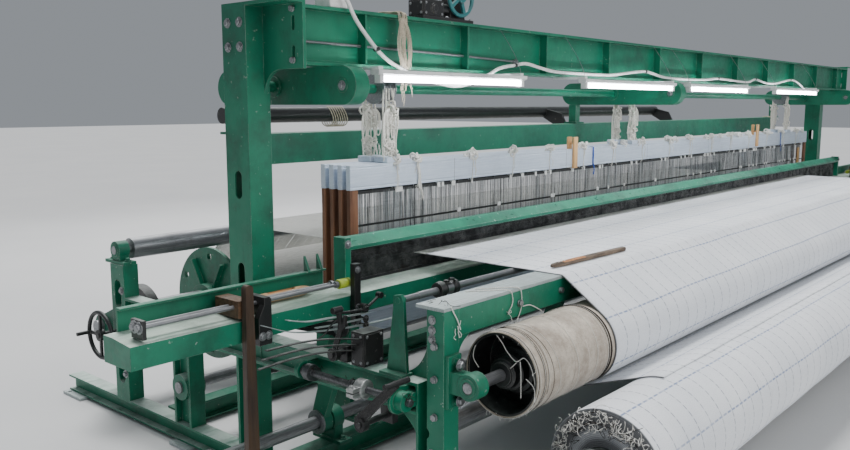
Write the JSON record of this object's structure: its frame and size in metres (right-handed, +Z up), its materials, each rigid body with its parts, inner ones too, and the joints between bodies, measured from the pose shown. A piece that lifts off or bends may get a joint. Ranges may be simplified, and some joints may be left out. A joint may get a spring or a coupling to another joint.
{
  "type": "power loom",
  "caption": "Wide shuttle power loom with breast beam, take-up and cloth rolls, swinging sley and reed, hanging heald frames, top girder, whip roll and warp beam.",
  "frame": {"origin": "centre of the loom's plan on the floor", "axes": "+X along the loom to the drive side, -Y towards the weaver, +Z up"},
  "size_m": [9.7, 3.6, 2.285],
  "materials": {
    "green_paint": "glossy enamel, chipped and dirty",
    "worn_steel": "paint worn through to steel",
    "canvas": "rough canvas cover",
    "cloth": "close plain weave with a dashed grid",
    "warp_yarn": "yarn",
    "bright_steel": "turned and oily",
    "reed_steel": "dark wires",
    "black_steel": "oily black",
    "wood": "worn",
    "hide": "pressed rawhide",
    "buffer_yellow": "matte",
    "aluminium": "satin, blue-grey",
    "rope": "twisted cotton",
    "white_enamel": "satin",
    "white_plastic": "matte",
    "lamp_glass": "frosted, lit",
    "teal_paint": "worn",
    "belt_rubber": "matte"
  },
  "bodies": {
    "frame": {"side_frame_left": "green_paint", "side_frame_right": "green_paint", "foot_plates": "worn_steel", "cross_rails": "green_paint", "breast_beam": "green_paint", "breast_cap": "worn_steel", "pillow_blocks": "green_paint", "cloth_roll_stands": "green_paint", "cloth": "cloth", "cloth_stick": "wood", "temple_bar": "bright_steel", "heald_guides": "green_paint", "columns": "green_paint", "girder": "green_paint", "arms": "green_paint", "back_beam": "green_paint", "lamp_fittings": "white_enamel", "lamp_tubes": "lamp_glass", "wiring": "white_plastic", "winch_base": "black_steel", "warp_sheet": "warp_yarn", "motor": "green_paint", "drive_belt": "belt_rubber", "rail_fittings": "black_steel", "frame_bolts": "bright_steel", "ropes_front": "rope", "ropes_rear": "rope"},
    "take_up": {"take_up_roll": "canvas"},
    "guide": {"guide_roller": "bright_steel"},
    "batch": {"cloth_roll": "cloth"},
    "sley": {"race_beam": "green_paint", "reed": "reed_steel", "reed_cap": "green_paint", "swords": "green_paint", "rocking_shaft": "bright_steel", "shuttle_box_left": "black_steel", "shuttle_box_right": "black_steel", "shuttle": "wood", "buffers": "buffer_yellow"},
    "picker_left_body": {"picker_left": "hide"},
    "picker_right_body": {"picker_right": "hide"},
    "stick_left": {"picking_stick_left": "wood"},
    "stick_right": {"picking_stick_right": "wood"},
    "healds_front": {"heald_frame_1": "aluminium", "heald_frame_2": "aluminium"},
    "healds_rear": {"heald_frame_3": "aluminium", "heald_frame_4": "aluminium"},
    "roller": {"top_roller": "green_paint"},
    "winch": {"winch_wheel": "teal_paint"},
    "whip": {"whip_roll": "bright_steel"},
    "beam": {"warp_beam": "warp_yarn"},
    "let_off": {"let_off_wheel": "black_steel"},
    "rod_left": {"connecting_rod_left": "black_steel"},
    "rod_right": {"connecting_rod_right": "black_steel"},
    "crank": {"crankshaft": "bright_steel"},
    "cams": {"cam_shaft": "bright_steel"},
    "motor_rotor": {"motor_pulley": "black_steel"},
    "side_shaft": {"take_up_drive": "bright_steel"},
    "t_lever_body": {"t_lever": "black_steel"},
    "start_lever": {"start_handle": "black_steel"}
  },
  "joints": [
    {"name": "sley_swing", "type": "hinge", "parent": "frame", "child": "sley", "pos_m": [0, -0.065, 0.22], "axis": [1, 0, 0], "range_deg": [-12, 5.6]},
    {"name": "rod_left_pivot", "type": "hinge", "parent": "sley", "child": "rod_left", "pos_m": [-3.816, -0.24765, 0.7], "axis": [1, 0, 0], "range_deg": [-5.6, 12]},
    {"name": "rod_right_pivot", "type": "hinge", "parent": "sley", "child": "rod_right", "pos_m": [3.816, -0.24765, 0.7], "axis": [1, 0, 0], "range_deg": [-5.6, 12]},
    {"name": "crank_turn", "type": "hinge", "parent": "frame", "child": "crank", "pos_m": [0, 0.62, 0.56], "axis": [1, 0, 0], "continuous": true},
    {"name": "cam_turn", "type": "hinge", "parent": "frame", "child": "cams", "pos_m": [0, 0.62, 0.3], "axis": [1, 0, 0], "continuous": true},
    {"name": "motor_turn", "type": "hinge", "parent": "frame", "child": "motor_rotor", "pos_m": [4.18, 1.15, 0.23], "axis": [1, 0, 0], "continuous": true},
    {"name": "heald_lift", "type": "slide", "parent": "frame", "child": "healds_front", "axis": [0, 0, 1], "range_m": [-0.055, 0.055], "deforming": ["ropes_front"]},
    {"name": "heald_lift_rear", "type": "slide", "parent": "frame", "child": "healds_rear", "axis": [0, 0, 1], "range_m": [-0.055, 0.055], "deforming": ["ropes_rear"]},
    {"name": "top_roller_turn", "type": "hinge", "parent": "frame", "child": "roller", "pos_m": [0, 0.16, 1.74], "axis": [1, 0, 0], "range_deg": [-47, 47]},
    {"name": "take_up_turn", "type": "hinge", "parent": "frame", "child": "take_up", "pos_m": [0, -1.135, 0.695], "axis": [1, 0, 0], "continuous": true},
    {"name": "guide_turn", "type": "hinge", "parent": "frame", "child": "guide", "pos_m": [0, -0.95, 0.49], "axis": [1, 0, 0], "continuous": true},
    {"name": "batch_turn", "type": "hinge", "parent": "frame", "child": "batch", "pos_m": [0, -1.5, 0.4], "axis": [1, 0, 0], "continuous": true},
    {"name": "whip_turn", "type": "hinge", "parent": "frame", "child": "whip", "pos_m": [0, 1.215, 0.9048], "axis": [1, 0, 0], "continuous": true},
    {"name": "beam_turn", "type": "hinge", "parent": "frame", "child": "beam", "pos_m": [0, 1.38, 0.47], "axis": [1, 0, 0], "continuous": true},
    {"name": "let_off_turn", "type": "hinge", "parent": "frame", "child": "let_off", "pos_m": [-4.13, 1.21, 0.47], "axis": [1, 0, 0], "continuous": true},
    {"name": "side_shaft_turn", "type": "hinge", "parent": "frame", "child": "side_shaft", "pos_m": [-4.1, -0.6, 0.605], "axis": [0, 1, 0], "continuous": true},
    {"name": "stick_left_swing", "type": "hinge", "parent": "sley", "child": "stick_left", "pos_m": [-4.39, -0.377, 0.33], "axis": [0, 1, 0], "range_deg": [-25, 0]},
    {"name": "picker_left_slide", "type": "slide", "parent": "sley", "child": "picker_left_body", "axis": [-1, 0, 0], "range_m": [0, 0.26]},
    {"name": "stick_right_swing", "type": "hinge", "parent": "sley", "child": "stick_right", "pos_m": [4.39, -0.377, 0.33], "axis": [0, 1, 0], "range_deg": [0, 25]},
    {"name": "picker_right_slide", "type": "slide", "parent": "sley", "child": "picker_right_body", "axis": [1, 0, 0], "range_m": [0, 0.26]},
    {"name": "winch_turn", "type": "hinge", "parent": "frame", "child": "winch", "pos_m": [-2.93, -0.165, 2.185], "axis": [0, 1, 0], "continuous": true},
    {"name": "t_lever_swing", "type": "hinge", "parent": "frame", "child": "t_lever_body", "pos_m": [-4.186, -0.76, 0.51], "axis": [1, 0, 0], "range_deg": [-12, 20]},
    {"name": "start_handle_swing", "type": "hinge", "parent": "frame", "child": "start_lever", "pos_m": [-4.096, -0.52, 0.705], "axis": [1, 0, 0], "range_deg": [-10, 10]}
  ],
  "couplings": [
    {"joint": "rod_left_pivot", "follows": "sley_swing", "ratio": -1},
    {"joint": "rod_right_pivot", "follows": "sley_swing", "ratio": -1},
    {"joint": "cam_turn", "follows": "crank_turn", "ratio": -0.5},
    {"joint": "motor_turn", "follows": "crank_turn", "ratio": 3.25},
    {"joint": "heald_lift_rear", "follows": "heald_lift", "ratio": -1},
    {"joint": "top_roller_turn", "follows": "heald_lift", "rad_per_m": -14.641},
    {"joint": "guide_turn", "follows": "take_up_turn", "ratio": -3.4211},
    {"joint": "batch_turn", "follows": "take_up_turn", "ratio": 0.73034},
    {"joint": "whip_turn", "follows": "take_up_turn", "ratio": 2.8509},
    {"joint": "beam_turn", "follows": "take_up_turn", "ratio": 0.64484},
    {"joint": "let_off_turn", "follows": "take_up_turn", "ratio": -2.0957},
    {"joint": "side_shaft_turn", "follows": "take_up_turn", "ratio": 20},
    {"joint": "picker_left_slide", "follows": "stick_left_swing", "m_per_rad": -0.59},
    {"joint": "picker_right_slide", "follows": "stick_right_swing", "m_per_rad": 0.59}
  ]
}
